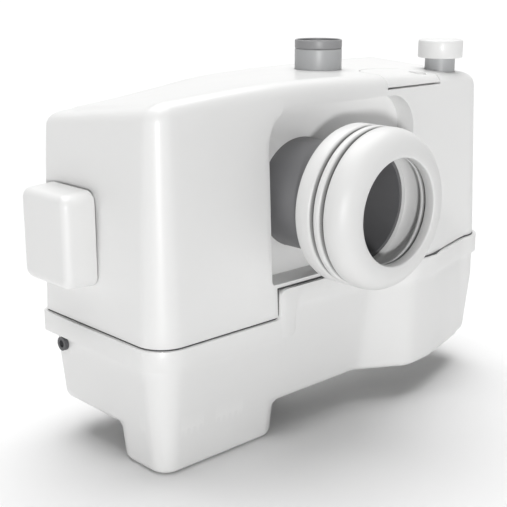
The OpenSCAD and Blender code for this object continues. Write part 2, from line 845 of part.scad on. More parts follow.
module motor_base() color([0.65, 0.66, 0.68]) at_motor(deck_top) difference() {
    union() {
        cylinder(r = motor_r, h = base_t - seat);
        translate([0, 0, base_t - cut]) cylinder(r = bearing_r + base_t / 2, h = bearing_h + cut);
    }
    translate([0, 0, base_t]) cylinder(r = bearing_r + seat, h = bearing_h + cut);
    translate([0, 0, -cut]) cylinder(r = seal_r + seat, h = base_t);
    cylinder(r = shaft_r + free, h = body_h);
    for (a = [45:90:359]) rotate([0, 0, a]) translate([screw_ring_r, 0, -cut])
        cylinder(r = screw_r + seat, h = body_h);
}

module motor_screws() color("silver") for (a = [45:90:359])
    at_motor(deck_z) rotate([0, 0, a]) translate([screw_ring_r, 0, 0]) {
        cylinder(r = screw_r, h = deck_t + base_t);
        translate([0, 0, -screw_r]) cylinder(r = 2 * screw_r, h = screw_r);
    }

module stator() color([0.45, 0.35, 0.25]) at_motor(rotor_z - seat_t) difference() {
    cylinder(r = motor_r - motor_wall - seat, h = rotor_len + 2 * seat_t);
    translate([0, 0, -cut]) cylinder(r = rotor_r + free + seat, h = rotor_len + 2 * seat_t + 2 * cut);
}

module rotor() color([0.5, 0.5, 0.52]) at_motor(rotor_z) difference() {
    cylinder(r = rotor_r, h = rotor_len);
    translate([0, 0, -cut]) cylinder(r = shaft_r + seat, h = rotor_len + 2 * cut);
}

module motor_shaft() color("silver") at_motor(impeller_z)
    cylinder(r = shaft_r, h = shaft_top - impeller_z);

module bearing(z) color([0.8, 0.8, 0.82]) at_motor(z) difference() {
    cylinder(r = bearing_r, h = bearing_h);
    translate([0, 0, -cut]) cylinder(r = shaft_r + running, h = bearing_h + 2 * cut);
}

upper_z = shaft_top - bearing_h;
module upper_bearing() {
    bearing(upper_z);
    color([0.65, 0.66, 0.68]) at_motor(upper_z) difference() {
        cylinder(r = motor_r - motor_wall - seat, h = bearing_h / 2);
        translate([0, 0, -cut]) cylinder(r = bearing_r - slab, h = bearing_h);
    }
}

module lower_bearing() bearing(motor_z + seat);

module shaft_seal() color([0.15, 0.15, 0.15]) at_motor(deck_z) difference() {
    cylinder(r = seal_r, h = deck_t + base_t - cut - seat);
    translate([0, 0, -cut]) cylinder(r = shaft_r + running, h = body_h);
}

// PUMP

module pump_volute() color([0.3, 0.32, 0.35]) {
    port = port_x - motor_x;
    at_motor(volute_z) difference() {
        union() {
            cylinder(r = volute_r, h = volute_h);
            translate([0, riser_y - motor_y, volute_h / 2]) rotate([0, -90, 0])
                cylinder(r = riser_r, h = -port);
        }
        translate([0, 0, volute_wall])
            cylinder(r = volute_r - volute_wall, h = volute_h);
        translate([0, riser_y - motor_y, volute_h / 2]) rotate([0, -90, 0])
            cylinder(r = pipe_bore_r, h = -port + cut);
    }
}

module wear_plate() color([0.4, 0.42, 0.45]) at_motor(0) difference() {
    union() {
        translate([0, 0, wear_z]) cylinder(r = basket_r, h = wear_t);
        translate([0, 0, volute_z + volute_h]) cylinder(r = volute_r, h = cut);
    }
    cylinder(r = impeller_r / 2, h = body_h);
}

module impeller() color([0.2, 0.22, 0.24]) at_motor(impeller_z) difference() {
    union() {
        cylinder(r = impeller_r, h = vane_t);
        cylinder(r = hub_r, h = vane_h);
        for (i = [0:vane_count - 1]) rotate([0, 0, 360 * i / vane_count])
            translate([0, -vane_t / 2, 0]) cube([impeller_r - vane_t / 2, vane_t, vane_h]);
    }
    translate([0, 0, -cut]) cylinder(r = shaft_r + seat, h = vane_h + 2 * cut);
}
vane_t = 2.2;
vane_h = 16.5;

module cutter_blade() color("silver") at_motor(blade_z) difference() {
    union() {
        cylinder(r = hub_r, h = blade_hub_h);
        for (a = [0, 180]) rotate([0, 0, a]) translate([0, -hub_r, 0])
            linear_extrude(vane_t) polygon([[0, 0], [blade_span / 2, hub_r / 2],
                [blade_span / 2, 3 * hub_r / 2], [0, 2 * hub_r]]);
    }
    translate([0, 0, -cut]) cylinder(r = shaft_r + seat, h = blade_hub_h + 2 * cut);
}
blade_hub_h = 8;

slot_top = 34;
module cutter_basket() color([0.7, 0.7, 0.7]) at_motor(basket_z) difference() {
    tube(basket_r, basket_wall, deck_z - basket_z - seat);
    for (i = [0:basket_slots - 1]) rotate([0, 0, 360 * i / basket_slots])
        translate([basket_r - 2 * basket_wall, -slot_w / 2, 2 * basket_wall])
            cube([4 * basket_wall, slot_w, slot_top]);
}

// CAPACITOR AND LEVEL SWITCH

capacitor_r = 12;
capacitor_in = 27;
capacitor_left = 22;
capacitor_x = riser_x - capacitor_left;
capacitor_y = body_d / 2 - capacitor_in;
capacitor_h = 62;

module capacitor() color([0.2, 0.25, 0.4]) translate([capacitor_x, capacitor_y, deck_top + 2 * seat])
    cylinder(r = capacitor_r, h = capacitor_h);

module capacitor_clip() color([0.3, 0.3, 0.3]) translate([capacitor_x, capacitor_y, deck_top])
    difference() {
        cylinder(r = capacitor_r + clip_t, h = clip_h);
        translate([0, 0, seat]) cylinder(r = capacitor_r + seat, h = clip_h);
        translate([-clip_t, 0, seat]) cube([2 * clip_t, 2 * capacitor_r, clip_h]);
    }
clip_t = 2;
clip_h = 14;

module at_level(z) translate([level_x, level_y, z]) children();

dip_lift = 16;
dip_z = belly_z + dip_lift;
module dip_tube() color([0.7, 0.7, 0.7]) at_level(dip_z) tube(tube_r, pipe_wall, deck_top - dip_z);

module pressure_chamber() color([0.35, 0.36, 0.38]) at_level(chamber_z + seat) difference() {
    cylinder(r = chamber_r, h = chamber_h - 2 * seat);
    translate([0, 0, clip_t]) cylinder(r = chamber_r - clip_t, h = chamber_h);
    translate([0, 0, -cut]) cylinder(r = tube_r - pipe_wall, h = chamber_h);
}

module diaphragm() color([0.1, 0.1, 0.1]) at_level(film_z) cylinder(r = chamber_r, h = film_t);

module plunger() color([0.9, 0.5, 0.1]) at_level(plunger_z) {
    cylinder(r = plunger_disc_r, h = film_t);
    cylinder(r = plunger_r, h = plunger_h);
}

// Spring: one wire tube wound round the plunger
spring_r = 4.6;
wire_r = 0.45;
spring_turns = 4;
spring_z = plunger_z + film_t + wire_r + seat;
plunger_tip = 3;
bracket_z = plunger_z + plunger_h - plunger_tip;
spring_pitch = (bracket_z - spring_z - wire_r - seat - plunger_travel / 4) / spring_turns;
ring_count = 8;
function coil_at(i) = let (a = 360 * i / ring_count)
    [spring_r * cos(a), spring_r * sin(a), spring_pitch * i / ring_count];
function ring_at(i) = let (a = 360 * i / ring_count) [for (k = [0:5])
    let (b = 60 * k, r = spring_r + wire_r * cos(b))
    [r * cos(a), r * sin(a), spring_pitch * i / ring_count + wire_r * sin(b)]];
spring_gap = min([for (i = [0:(spring_turns - 1) * ring_count - 1], j = [-1:1])
    norm(coil_at(i) - coil_at(i + ring_count + j))]) - 2 * wire_r;
echo(spring_gap = spring_gap);

module plunger_spring() color("silver") {
    n = spring_turns * ring_count;
    points = [for (i = [0:n]) each ring_at(i)];
    sides = [for (i = [0:n - 1], k = [0:5]) let (j = (k + 1) % 6)
        each [[6 * i + k, 6 * i + j, 6 * i + 6 + j], [6 * i + k, 6 * i + 6 + j, 6 * i + 6 + k]]];
    ends = [for (k = [1:4]) each [[0, k + 1, k], [6 * n, 6 * n + k, 6 * n + k + 1]]];
    at_level(spring_z) polyhedron(points, concat(sides, ends));
}

module switch_bracket() color([0.35, 0.36, 0.38]) at_level(film_z + film_t) {
    difference() {
        cylinder(r = chamber_r, h = switch_z - film_z - film_t - seat);
        translate([0, 0, -cut]) cylinder(r = chamber_r - clip_t, h = bracket_z - film_z - film_t + cut);
        translate([0, 0, -cut]) cylinder(r = plunger_r + free, h = body_h);
    }
}

module microswitch() color([0.15, 0.15, 0.17]) at_level(switch_z)
    translate([-chamber_r + clip_t, -plunger_disc_r, 0])
        cube([2 * (chamber_r - clip_t), 2 * plunger_disc_r, switch_h]);

tank();
seam_gasket();
housing();
housing_screws();
access_lid();
lid_ring();
inlet_socket();
inlet_collar();
inlet_chute();
outlet_socket();
outlet_sleeve();
check_valve_body();
check_ball();
ball_stop();
valve_riser();
discharge_elbow();
top_inlet_pipe();
top_inlet_cap();
vent_cover();
carbon_filter();
cable_gland();
deck();
motor_can();
motor_base();
motor_screws();
stator();
rotor();
motor_shaft();
upper_bearing();
lower_bearing();
shaft_seal();
pump_volute();
wear_plate();
impeller();
cutter_blade();
cutter_basket();
capacitor();
capacitor_clip();
dip_tube();
pressure_chamber();
diaphragm();
plunger();
plunger_spring();
switch_bracket();
microswitch();
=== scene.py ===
import json
import math

import bmesh
import bpy
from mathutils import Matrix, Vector


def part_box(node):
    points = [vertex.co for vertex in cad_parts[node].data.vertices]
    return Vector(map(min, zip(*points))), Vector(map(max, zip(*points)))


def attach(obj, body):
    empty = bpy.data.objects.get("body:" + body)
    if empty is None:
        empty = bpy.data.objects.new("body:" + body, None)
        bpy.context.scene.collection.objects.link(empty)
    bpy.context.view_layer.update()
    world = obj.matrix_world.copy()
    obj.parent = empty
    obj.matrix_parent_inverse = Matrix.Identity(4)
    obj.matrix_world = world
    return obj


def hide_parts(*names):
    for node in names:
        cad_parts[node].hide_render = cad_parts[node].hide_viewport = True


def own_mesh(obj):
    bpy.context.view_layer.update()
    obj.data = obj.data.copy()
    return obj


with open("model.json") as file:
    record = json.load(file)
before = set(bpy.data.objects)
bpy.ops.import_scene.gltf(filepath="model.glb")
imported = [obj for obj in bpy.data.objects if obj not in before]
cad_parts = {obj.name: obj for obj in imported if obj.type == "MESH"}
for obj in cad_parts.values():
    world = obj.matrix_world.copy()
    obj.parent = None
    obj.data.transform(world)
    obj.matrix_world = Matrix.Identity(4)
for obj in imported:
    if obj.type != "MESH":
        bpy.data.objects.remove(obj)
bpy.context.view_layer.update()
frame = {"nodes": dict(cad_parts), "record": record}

# Lengths and places are in millimetres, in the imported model's frame, or in metres where a name ends in _M
MM = 0.001
# How far a cutting form runs past what it cuts, how deep it cuts a side, and a reach past the whole body
OVER, SIDE_CUT, FAR = 5.0, 30.0, 300.0

# Half the length and half the depth of the body at its flange, and its corner radii in plan
HALF_W, HALF_D = 184.0, 71.0
CORNER_R, REAR_R = 24.0, 8.0
# Top of the flange left and right of its step, the step's place, the band's and the gasket's heights
SPLIT_LOW, SPLIT_HIGH = 95.0, 117.0
STEP_X, BAND, GASKET = -70.0, 15.0, 1.2
# Underside of the housing left and right of the step
LOW_Z, HIGH_Z = SPLIT_LOW + GASKET, SPLIT_HIGH + GASKET
# Radii of the band's corners at the step, outside and inside, and of the housing's corner over it
STEP_OUTER_R, STEP_INNER_R, SEAM_R = 6.0, 4.0, 5.0
BAND_STEPS, SEAM_STEPS = 5, 6
# Edge radius that all moulded shells have, and the smaller one of vent box and collar
SHELL_EDGE, FINE_EDGE = 0.9, 0.5

# Places that several pieces share
INLET_X, INLET_Z, MOUTH_Y = -28.0, 180.0, -143.0
RISER_X, RISER_Y = 48.0, 8.0
CAP_X, CAP_Y = 146.0, -40.0
LID_X, LID_Y, LID_R = 85.9, -50.0, 35.0
VENT_Y, VENT_Z = 27.0, 161.0
GLAND_Y, GLAND_Z = 44.0, 74.2


# Materials

# Sockets of the colour mix node, which share their names
MIX_SHARE, MIX_FIRST, MIX_SECOND, MIX_OUT = 0, 6, 7, 2
BLACK, WHITE = (0.0, 0.0, 0.0, 1.0), (1.0, 1.0, 1.0, 1.0)
# Noise scale and detail of the broad tint, of the patchy gloss and, for the grain, its detail alone
TINT_SCALE, TINT_DETAIL = 9.0, 4.0
GLOSS_SCALE, GLOSS_DETAIL = 55.0, 3.0
GRAIN_DETAIL, GRAIN_HEIGHT_M = 2.0, 0.0004
# Noise values between which the tint turns from its darker to its lighter shade
TINT_FROM, TINT_TO = 0.3, 0.7
# Pointiness at which wear begins and is full, and how much lighter a worn edge is
WORN_FROM, WORN_TO = 0.58, 0.72
WORN_GAIN, WORN_LIFT = 1.25, 0.03
# Reach of the painted shade in hollows, in which another wall of the piece darkens the colour, and the open
# shares at which this painted shade is darkest and gone
PAINTED_SHADE_REACH_M, PAINTED_SHADE_FULL, PAINTED_SHADE_NONE = 0.007, 0.2, 0.8
COAT_ROUGH = 0.12


def noise(tree, spot, scale, detail):
    node = tree.nodes.new("ShaderNodeTexNoise")
    node.inputs["Scale"].default_value = scale
    node.inputs["Detail"].default_value = detail
    tree.links.new(spot, node.inputs["Vector"])
    return node.outputs["Fac"]


def ramp(tree, value, start, end):
    """Colour that turns from start to end, each a (position, colour) pair, as a value rises."""
    node = tree.nodes.new("ShaderNodeValToRGB")
    for element, (position, colour) in zip(node.color_ramp.elements, (start, end)):
        element.position = position
        element.color = colour
    tree.links.new(value, node.inputs["Fac"])
    return node.outputs["Color"]


def colour_mix(tree, share, first, second, blend="MIX"):
    """Mix of two colours; the share and the colours are values or other nodes' outputs."""
    node = tree.nodes.new("ShaderNodeMix")
    node.data_type = "RGBA"
    node.blend_type = blend
    for socket, source in ((MIX_SHARE, share), (MIX_FIRST, first), (MIX_SECOND, second)):
        if isinstance(source, bpy.types.NodeSocket):
            tree.links.new(source, node.inputs[socket])
        else:
            node.inputs[socket].default_value = source
    return node.outputs[MIX_OUT]


def shade_of(colour, gain, lift=0.0):
    return tuple(min(part * gain + lift, 1.0) for part in colour) + (1.0,)


def painted_hollow_shade(tree, surface, share):
    """The surface's colour with painted shade: darker by a share where other walls of the same piece stand
    close.
    """
    hollow = tree.nodes.new("ShaderNodeAmbientOcclusion")
    hollow.inputs["Distance"].default_value = PAINTED_SHADE_REACH_M
    hollow.only_local = True
    darkest = shade_of((1.0, 1.0, 1.0), 1.0 - share)
    shade = ramp(tree, hollow.outputs["AO"], (PAINTED_SHADE_FULL, darkest), (PAINTED_SHADE_NONE, WHITE))
    return colour_mix(tree, 1.0, surface, shade, "MULTIPLY")


def finish_material(name, colour, rough, vary=0.03, grain=700.0, bump=0.04, metal=0.0, coat=0.0,
                    wear=0.16, spec=0.5, stretch=(1.0, 1.0, 1.0), rough_vary=0.08, painted_shade=0.0):
    """A surface with uneven colour and gloss, fine moulded or brushed grain, lighter worn edges and, where
    asked, painted shade in its hollows.
    """
    mat = bpy.data.materials.new(name)
    mat.use_nodes = True
    tree = mat.node_tree
    shader = tree.nodes["Principled BSDF"]
    shader.inputs["Metallic"].default_value = metal
    shader.inputs["Specular IOR Level"].default_value = spec
    shader.inputs["Coat Weight"].default_value = coat
    shader.inputs["Coat Roughness"].default_value = COAT_ROUGH
    coord = tree.nodes.new("ShaderNodeTexCoord")
    mapping = tree.nodes.new("ShaderNodeMapping")
    mapping.inputs["Scale"].default_value = stretch
    tree.links.new(coord.outputs["Object"], mapping.inputs["Vector"])
    spot = mapping.outputs["Vector"]

    cloud = noise(tree, spot, TINT_SCALE, TINT_DETAIL)
    darker, lighter = shade_of(colour, 1.0 - vary), shade_of(colour, 1.0 + vary)
    tint = ramp(tree, cloud, (TINT_FROM, darker), (TINT_TO, lighter))

    geometry = tree.nodes.new("ShaderNodeNewGeometry")
    edge = ramp(tree, geometry.outputs["Pointiness"], (WORN_FROM, BLACK), (WORN_TO, WHITE))
    worn = tree.nodes.new("ShaderNodeMath")
    worn.operation = "MULTIPLY"
    tree.links.new(edge, worn.inputs[0])
    worn.inputs[1].default_value = wear
    surface = colour_mix(tree, worn.outputs["Value"], tint, shade_of(colour, WORN_GAIN, WORN_LIFT))
    # Painted shade: the colour is darkened where the piece's own walls stand close, as in grooves and
    # hollows
    if painted_shade:
        surface = painted_hollow_shade(tree, surface, painted_shade)
    tree.links.new(surface, shader.inputs["Base Color"])

    gloss = tree.nodes.new("ShaderNodeMapRange")
    gloss.inputs["To Min"].default_value = rough - rough_vary
    gloss.inputs["To Max"].default_value = rough + rough_vary
    tree.links.new(noise(tree, spot, GLOSS_SCALE, GLOSS_DETAIL), gloss.inputs["Value"])
    tree.links.new(gloss.outputs["Result"], shader.inputs["Roughness"])

    relief = tree.nodes.new("ShaderNodeBump")
    relief.inputs["Strength"].default_value = bump
    relief.inputs["Distance"].default_value = GRAIN_HEIGHT_M
    tree.links.new(noise(tree, spot, grain, GRAIN_DETAIL), relief.inputs["Height"])
    tree.links.new(relief.outputs["Normal"], shader.inputs["Normal"])
    return mat


# One finish for each material slot of the record
FINISHES = {
    "shell_plastic": finish_material("shell_white", (0.73, 0.73, 0.725), 0.38, vary=0.012, grain=1100,
                                     bump=0.03, coat=0.2, wear=0.12, rough_vary=0.06),
    # The collar's grooves and hollows are darkened with painted shade
    "collar_rubber": finish_material("collar_white", (0.66, 0.66, 0.655), 0.42, vary=0.02, grain=900,
                                     bump=0.05, wear=0.08, painted_shade=0.75),
    "seal_rubber": finish_material("seal_black", (0.05, 0.05, 0.052), 0.55, vary=0.15, grain=900,
                                   bump=0.08),
    "grey_plastic": finish_material("grey_moulding", (0.36, 0.365, 0.37), 0.42, vary=0.05, grain=800,
                                    bump=0.06),
    "dark_plastic": finish_material("dark_moulding", (0.07, 0.07, 0.075), 0.42, vary=0.1, grain=900,
                                    bump=0.07),
    "orange_plastic": finish_material("orange_moulding", (0.75, 0.28, 0.06), 0.4, vary=0.06, grain=900,
                                      bump=0.06),
    "ball_rubber": finish_material("ball_coating", (0.45, 0.43, 0.38), 0.5, vary=0.08, grain=700,
                                   bump=0.08),
    "steel": finish_material("steel_brushed", (0.62, 0.63, 0.64), 0.28, vary=0.05, grain=500, bump=0.08,
                             metal=1.0, stretch=(1, 1, 0.08), rough_vary=0.12),
    "motor_aluminium": finish_material("cast_aluminium", (0.62, 0.64, 0.66), 0.45, vary=0.06, grain=500,
                                       bump=0.15, metal=1.0, rough_vary=0.12),
    "cast_iron": finish_material("coated_iron", (0.13, 0.135, 0.14), 0.55, vary=0.15, grain=350,
                                 bump=0.3, metal=0.3),
    "lamination": finish_material("laminations", (0.40, 0.36, 0.33), 0.45, vary=0.1, grain=260,
                                  bump=0.25, metal=0.8, stretch=(0.05, 0.05, 3.0)),
    "carbon": finish_material("carbon_felt", (0.03, 0.03, 0.03), 0.9, vary=0.3, grain=450, bump=0.6),
}
for entry in frame["record"]["subparts"]:
    slots = frame["nodes"][entry["node"]].data.materials
    slots.clear()
    slots.append(FINISHES[entry["material_slot"]])
# The neck in the recess gets a darker grey than the other grey mouldings: painted shade that deepens the
# recess's shadow
frame["nodes"]["inlet_socket"].data.materials[0] = finish_material(
    "neck_painted_shade", (0.15, 0.15, 0.155), 0.45, vary=0.08, grain=800, bump=0.06)


# Mesh tools

# Points closer than this become one
MERGE_M = 0.00001
# Facets of round forms, from the screw holes to the collar
TINY_FACETS, SMALL_FACETS, MEDIUM_FACETS, HOLE_FACETS, WIDE_FACETS, COLLAR_FACETS = 24, 32, 48, 64, 96, 160
# Angles in degrees over which an edge is rounded, on moulded shells and on turned pieces
SHELL_ANGLE, TURNED_ANGLE = 38, 30
# Angles over which an edge stays sharp in the shading, on most pieces and on the collar
SMOOTH_ANGLE, COLLAR_SMOOTH_ANGLE = 32, 40
EDGE_SEGMENTS = 2
UP, BACK, RIGHT = (0, 0, 1), (0, 1, 0), (1, 0, 0)


def lerp(a, b, t):
    return a + (b - a) * t


def share_between(value, start, end):
    """Share of the way from start to end, no less than 0 and no more than 1."""
    return min(max((value - start) / (end - start), 0.0), 1.0)


def along(table, x):
    """Straight interpolation in a table of (place, value) pairs."""
    if x <= table[0][0]:
        return table[0][1]
    for (x0, v0), (x1, v1) in zip(table, table[1:]):
        if x <= x1:
            return lerp(v0, v1, (x - x0) / (x1 - x0))
    return table[-1][1]


def smooth_along(table, x, reach):
    """The table's mean over a reach to both sides, which rounds its corners."""
    steps = 8
    places = [x + reach * (2 * k / steps - 1) for k in range(steps + 1)]
    return sum(along(table, place) for place in places) / len(places)


def clean(obj):
    """Merge double points, drop faces without area and turn all faces outwards."""
    work = bmesh.new()
    work.from_mesh(obj.data)
    bmesh.ops.remove_doubles(work, verts=work.verts, dist=MERGE_M)
    bmesh.ops.dissolve_degenerate(work, edges=work.edges, dist=MERGE_M)
    bmesh.ops.recalc_face_normals(work, faces=work.faces)
    work.to_mesh(obj.data)
    work.free()


def from_mesh(name, points, faces):
    mesh = bpy.data.meshes.new(name)
    mesh.from_pydata([tuple(c * MM for c in p) for p in points], [], faces)
    mesh.validate()
    obj = bpy.data.objects.new(name, mesh)
    bpy.context.scene.collection.objects.link(obj)
    clean(obj)
    return obj


def loft(rings):
    """Closed skin through rings of equal count, flat at both ends. Rings run bottom to top."""
    n = len(rings[0])
    points = [p for ring in rings for p in ring]
    faces = [tuple(reversed(range(n))), tuple(range((len(rings) - 1) * n, len(rings) * n))]
    for k in range(len(rings) - 1):
        for i in range(n):
            j = (i + 1) % n
            faces.append((k * n + i, k * n + j, (k + 1) * n + j, (k + 1) * n + i))
    return points, faces


def extruded(name, outline, y0, y1):
    """Closed prism of an X, Z outline between two Y places."""
    return from_mesh(name, *loft([[(x, y, z) for x, z in outline] for y in (y0, y1)]))


def box(name, x0, x1, y0, y1, z0, z1):
    return extruded(name, [(x0, z0), (x1, z0), (x1, z1), (x0, z1)], y0, y1)


def rounded(points, radii, steps):
    """A polygon with each corner rounded by its own radius, in a number of steps."""
    out = []
    for i, (p, r) in enumerate(zip(points, radii)):
        corner, before, after = Vector(p), Vector(points[i - 1]), Vector(points[(i + 1) % len(points)])
        if r <= 0:
            out.append(tuple(corner))
            continue
        a, b = (before - corner).normalized(), (after - corner).normalized()
        half = a.angle(b) / 2
        start, end = corner + a * (r / math.tan(half)), corner + b * (r / math.tan(half))
        centre = corner + (a + b).normalized() * (r / math.sin(half))
        for k in range(steps + 1):
            spot = start.lerp(end, k / steps)
            out.append(tuple(centre + (spot - centre).normalized() * r))
    return out


def lathe(name, profile, origin, direction, facets=WIDE_FACETS):
    """Closed ring or plug turned round an axis; profile is (radius, distance along the axis)."""
    axis = Vector(direction)
    side = axis.orthogonal().normalized()
    other = axis.cross(side)
    points, rows = [], []
    for r, h in profile:
        row = []
        for k in range(facets):
            if r == 0 and k:
                row.append(row[0])
                continue
            a = 2 * math.pi * k / facets
            row.append(len(points))
            points.append(Vector(origin) + axis * h + (side * math.cos(a) + other * math.sin(a)) * r)
        rows.append(row)
    is_ring = profile[0][0] > 0
    faces = []
    for i in range(len(rows) if is_ring else len(rows) - 1):
        a, b = rows[i], rows[(i + 1) % len(rows)]
        for k in range(facets):
            j = (k + 1) % facets
            face = list(dict.fromkeys((a[k], a[j], b[j], b[k])))
            if len(face) > 2:
                faces.append(tuple(face))
    return from_mesh(name, points, faces)


def rod(name, origin, direction, length, r, facets=HOLE_FACETS):
    return lathe(name, [(0, 0), (r, 0), (r, length), (0, length)], origin, direction, facets)


def apply_modifier(obj, modifier):
    with bpy.context.temp_override(object=obj, active_object=obj, selected_objects=[obj]):
        bpy.ops.object.modifier_apply(modifier=modifier.name)


def combine(obj, other, operation):
    """Cut, join or keep the common part of two closed forms; the other one is used up."""
    modifier = obj.modifiers.new("cut", "BOOLEAN")
    modifier.object = other
    modifier.operation = operation
    modifier.solver = "EXACT"
    apply_modifier(obj, modifier)
    bpy.data.objects.remove(other)


def cut(obj, *others):
    for other in others:
        combine(obj, other, "DIFFERENCE")


def soften(obj, width, angle=SHELL_ANGLE, smooth_angle=SMOOTH_ANGLE):
    """Rounded edges on every sharp corner, then smooth shading between the rest."""
    clean(obj)
    if width:
        modifier = obj.modifiers.new("edges", "BEVEL")
        modifier.width = width * MM
        modifier.segments = EDGE_SEGMENTS
        modifier.limit_method = "ANGLE"
        modifier.angle_limit = math.radians(angle)
        modifier.use_clamp_overlap = True
        modifier.miter_outer = "MITER_ARC"
        apply_modifier(obj, modifier)
    for polygon in obj.data.polygons:
        polygon.use_smooth = True
    obj.data.set_sharp_from_angle(angle=math.radians(smooth_angle))


def place(obj, body, slot, node):
    """Give a piece its finish, where it has none of its own yet, and its body, and hide the node it stands
    for.
    """
    if not obj.data.materials:
        obj.data.materials.append(FINISHES[slot])
    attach(obj, body)
    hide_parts(node)


# Plan of the body

# How far the front bows out over the flange's straight front, by place along the length
BOW = [(-20, -30), (62, 18), (67, 18.4), (90, 16.8), (150, 0.5), (184, -16)]
BOW_SMOOTH = 4.0
# Steps along a long side, a short side and a corner of the plan
LONG_STEPS, SHORT_STEPS, CORNER_STEPS = 60, 12, 10
# Smallest radius that a corner keeps when the plan is drawn in
LEAST_R = 0.8


def plan_spots():
    """Places round a rounded rectangle: a side and the share along it, or a corner and its angle."""
    spots = []
    sides = (("front", LONG_STEPS, 1, -1, -90), ("right", SHORT_STEPS, 1, 1, 0),
             ("back", LONG_STEPS, -1, 1, 90), ("left", SHORT_STEPS, -1, -1, 180))
    for side, steps, x_sign, y_sign, start in sides:
        spots += [(side, k / steps) for k in range(steps + 1)]
        spots += [("corner", x_sign, y_sign, start + 90 * k / CORNER_STEPS)
                  for k in range(1, CORNER_STEPS)]
    return spots


SPOTS = plan_spots()


def plan_point(spot, inset, half_w=HALF_W, half_d=HALF_D, corner=CORNER_R, rear=None):
    """Place on a rounded rectangle drawn in by an inset; its rear corners may have their own radius."""
    r_front = max(corner - inset, LEAST_R)
    r_rear = r_front if rear is None else max(rear - inset, LEAST_R)
    out_x, out_y = half_w - inset, half_d - inset
    if spot[0] == "front":
        return lerp(r_front - out_x, out_x - r_front, spot[1]), -out_y
    if spot[0] == "back":
        return lerp(out_x - r_rear, r_rear - out_x, spot[1]), out_y
    if spot[0] == "right":
        return out_x, lerp(r_front - out_y, out_y - r_rear, spot[1])
    if spot[0] == "left":
        return -out_x, lerp(out_y - r_rear, r_front - out_y, spot[1])
    _, x_sign, y_sign, degrees = spot
    a = math.radians(degrees)
    r = r_rear if y_sign > 0 else r_front
    return x_sign * (out_x - r) + r * math.cos(a), y_sign * (out_y - r) + r * math.sin(a)


def bowed(spot, x, y, inset):
    """The place's Y, brought out to the bow where the spot faces the front."""
    if spot[0] == "front" or (spot[0] == "corner" and spot[2] < 0):
        return min(y, -(HALF_D + smooth_along(BOW, x, BOW_SMOOTH) - inset))
    return y


def body_ring(z, inset, bow_inset, rear=None):
    """Ring of the body's plan at one height, with the bow of its front."""
    ring = []
    for spot in SPOTS:
        x, y = plan_point(spot, inset, rear=rear)
        ring.append((x, bowed(spot, x, y, bow_inset), z))
    return ring


# Housing

# Height of the crown by place along the length, at its front and rear edges, and its highest place
CROWN_FRONT = [(-184, 256.5), (-140, 259.8), (-100, 262.4), (-58, 264.0), (4, 263.6), (90, 260.5),
               (160, 257.0), (184, 255.5)]
CROWN_REAR = [(-184, 243.0), (-140, 246.5), (-119, 249.5), (-89, 253.5), (-65, 257.0), (-32, 260.5),
              (20, 262.3), (78, 263.0), (140, 263.5), (184, 262.8)]
CROWN_TOP, CROWN_SMOOTH, CROWN_HALF_D = 264.0, 18.0, 61.0
# Half the length of the line on which the top's rings close, and the rings' shares of the way there
RIDGE_HALF_W, TOP_SHARES = 125.0, (0.12, 0.3, 0.5, 0.7, 0.88)
# Edge radius round the top, inset from the flange, and how far the sides lean in up to the top
TOP_EDGE_R, HOUSING_INSET, HOUSING_DRAFT = 11.0, 2.4, 7.0
# The bow falls back by this much for each millimetre of height over the seam
BOW_LEAN = 27.0 / 70.0
# Steps up the sides and round the top's edge
SIDE_STEPS, EDGE_STEPS = 16, 6
# Faces with more corners than this are split into triangles
MOST_CORNERS = 8
# The housing's wall, and how far its inner form reaches below its underside
HOUSING_WALL, HOLLOW_BELOW = 2.6, 1.0
# Recess round the inlet: its sides, rear wall and corner radii at the foot and the top
BAY_X0, BAY_X1, BAY_Z0, BAY_Z1, BAY_Y = -76.0, 84.0, 120.8, 246.0, -47.0
BAY_FOOT_R, BAY_TOP_R, BAY_STEPS = 3.0, 26.0, 8
# Radii of the holes for the neck, the two stubs, the lid and the vent
NECK_HOLE_R, RISER_HOLE_R, CAP_HOLE_R, LID_HOLE_R, VENT_HOLE_R = 41.2, 19.3, 12.9, 10.0, 16.0
LID_HOLE_Y = -31.1
# Height at which the holes in the top begin, inside the housing
HOLE_Z = 230.0
# Well of the lid: its floor, its gap round the lid and the height at which its wall begins inside
WELL_Z, WELL_GAP, WELL_WALL_Z = 250.6, 0.5, 248.0
# Lid: its underside, how far it stays inside its radius, and the dimple to lift it by
LID_Z, LID_INSET, DIMPLE_Z, DIMPLE_R = 252.1, 0.2, 258.0, 7.0
# Flat pad that carries the vent box: outer and inner face, half its width and half its height
PAD_X0, PAD_X1, PAD_HALF_W, PAD_HALF_H = -181.0, -171.0, 24.0, 29.0
# Skin that keeps the inner form off the pad's faces
PAD_SKIN = 0.1
# Lugs for the screws at the back, and their holes
LUG_PLACES, LUG_Y, LUG_R, LUG_H, LUG_ROOT, LUG_STEPS = (-40.0, 140.0), HALF_D, 9.0, 7.0, 11.0, 12
SCREW_HOLE_Y, SCREW_HOLE_R = 75.5, 2.5


def crown(x, y):
    front = smooth_along(CROWN_FRONT, x, CROWN_SMOOTH)
    rear = smooth_along(CROWN_REAR, x, CROWN_SMOOTH)
    return lerp(front, rear, share_between(y, -CROWN_HALF_D, CROWN_HALF_D))


